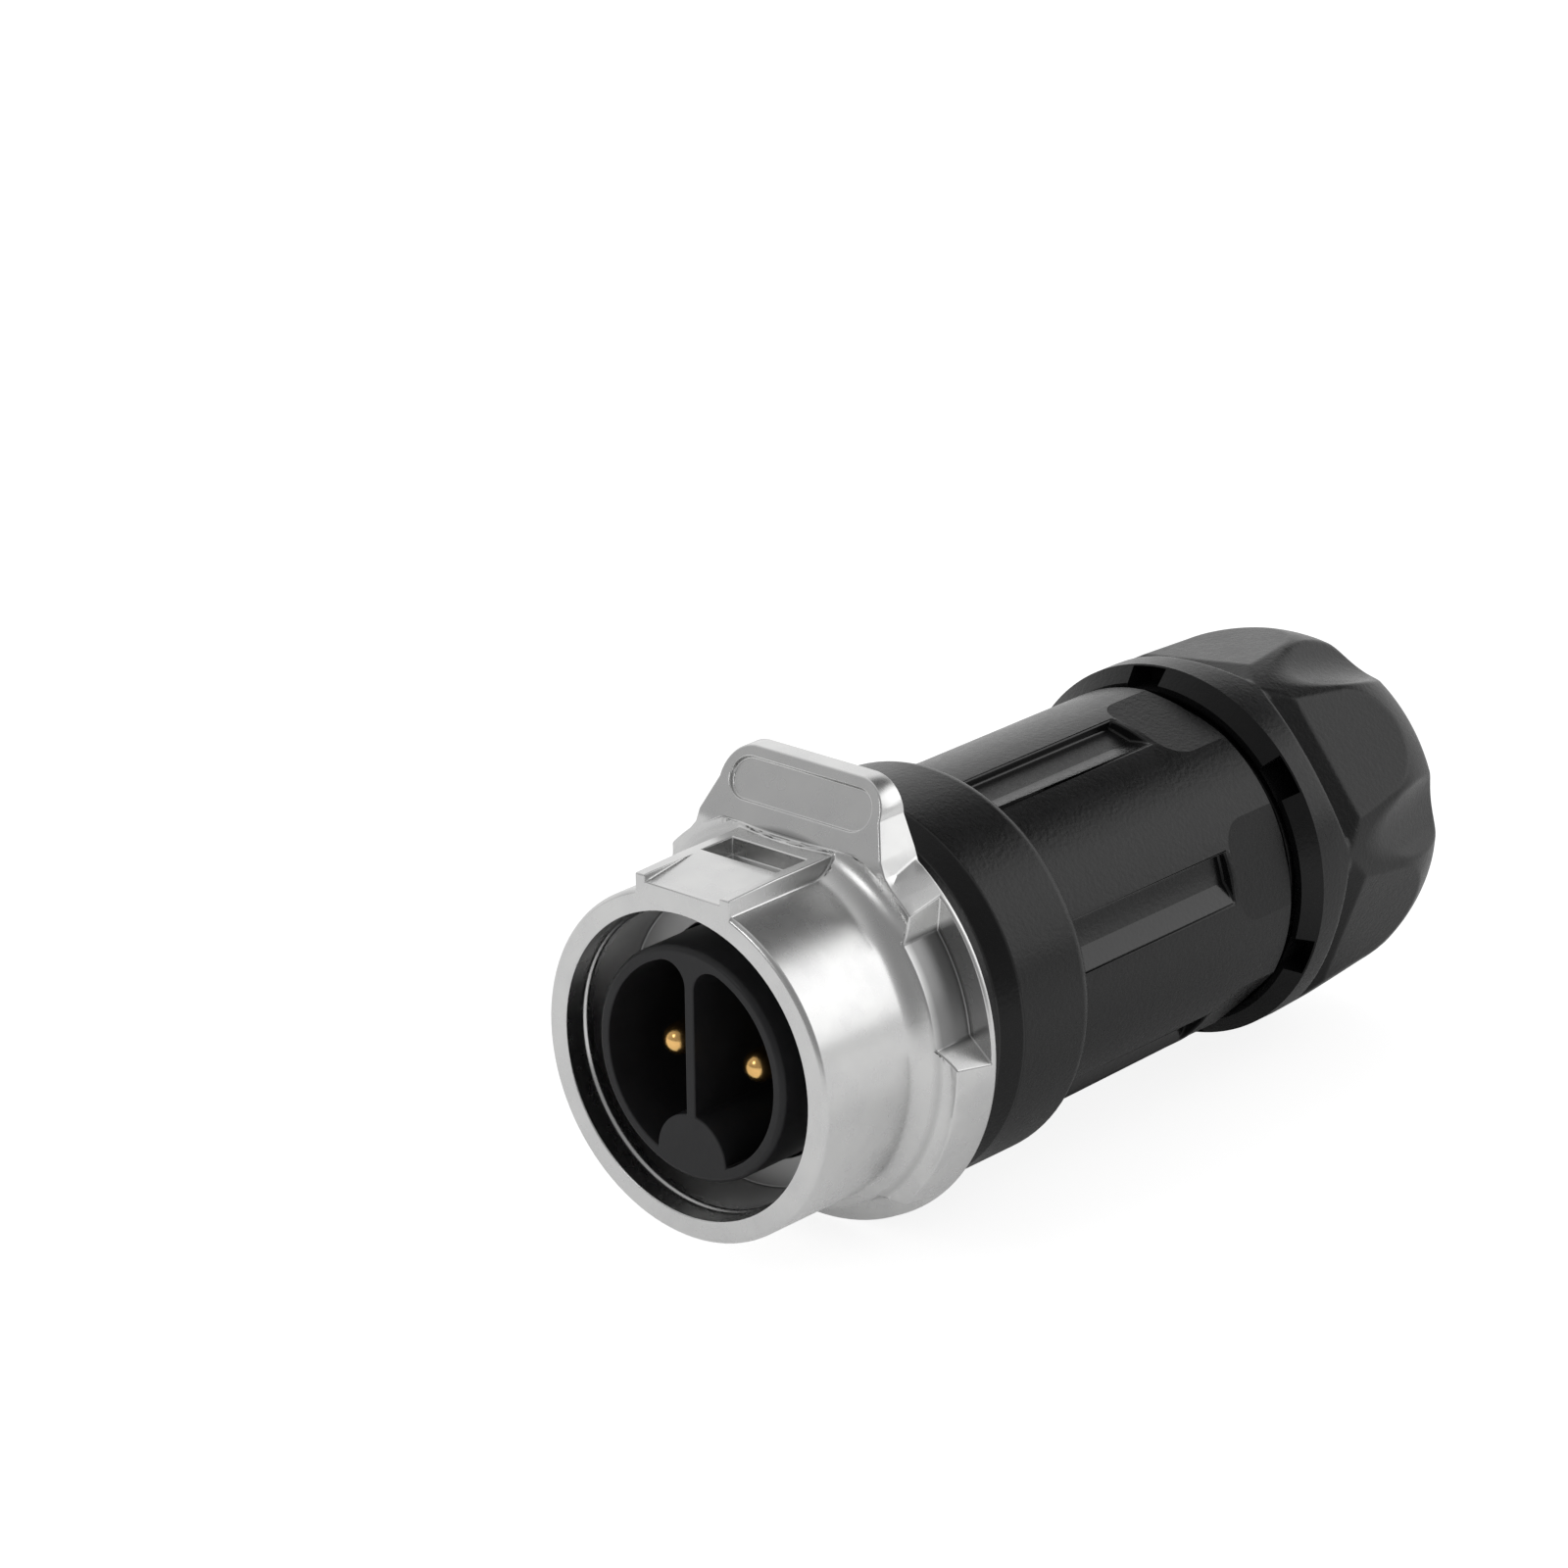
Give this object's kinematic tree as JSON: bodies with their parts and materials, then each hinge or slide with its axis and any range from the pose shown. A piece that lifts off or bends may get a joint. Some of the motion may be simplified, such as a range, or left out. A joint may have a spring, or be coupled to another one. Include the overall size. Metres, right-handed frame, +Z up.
{
  "type": "waterproof cable connector",
  "caption": "Round in-line waterproof cable socket: plated nose with latch pad, catch and collar, pin contacts in an insert, grooved black barrel and a lobed gland nut.",
  "frame": {"origin": "centre of the mouth, on the axis in the plane of the front lip", "axes": "+X along the axis from the mouth to the cable end, +Z up through the catch, -Y the side seen in the picture"},
  "size_m": [0.0682, 0.03, 0.0328],
  "materials": {
    "zinc": "satin nickel plating on a zinc casting",
    "insulator": "moulded, satin",
    "gold_contact": "gold plated",
    "brass_screw": "turned",
    "seal_rubber": "matte",
    "spring_steel": "bright",
    "black_nylon": "fine grained, moulded"
  },
  "bodies": {
    "shell": {"front_shell": "zinc", "contact_insert": "insulator", "contact_pin_left": "gold_contact", "contact_pin_right": "gold_contact", "terminal_screw_left": "brass_screw", "terminal_screw_right": "brass_screw", "insert_seal": "seal_rubber", "insert_clip": "spring_steel"},
    "body_seal": {"body_seal": "seal_rubber"},
    "rear_body": {"rear_body": "black_nylon"},
    "gland": {"gland_claw": "black_nylon", "gland_seal": "seal_rubber"},
    "gland_nut": {"gland_nut": "black_nylon"}
  },
  "joints": [
    {"name": "body_travel", "type": "slide", "parent": "shell", "child": "body_seal", "axis": [1, 0, 0], "range_m": [0, 0.003]},
    {"name": "body_turn", "type": "hinge", "parent": "body_seal", "child": "rear_body", "pos_m": [0.0141, 0, 0], "axis": [1, 0, 0], "range_deg": [0, 720]},
    {"name": "gland_travel", "type": "slide", "parent": "rear_body", "child": "gland", "axis": [1, 0, 0], "range_m": [0, 0.006]},
    {"name": "nut_turn", "type": "hinge", "parent": "gland", "child": "gland_nut", "pos_m": [0.0509, 0, 0], "axis": [1, 0, 0], "range_deg": [0, 1440]}
  ],
  "couplings": [
    {"joint": "body_travel", "follows": "body_turn", "m_per_rad": 0.00023873},
    {"joint": "gland_travel", "follows": "nut_turn", "m_per_rad": 0.00023873}
  ]
}
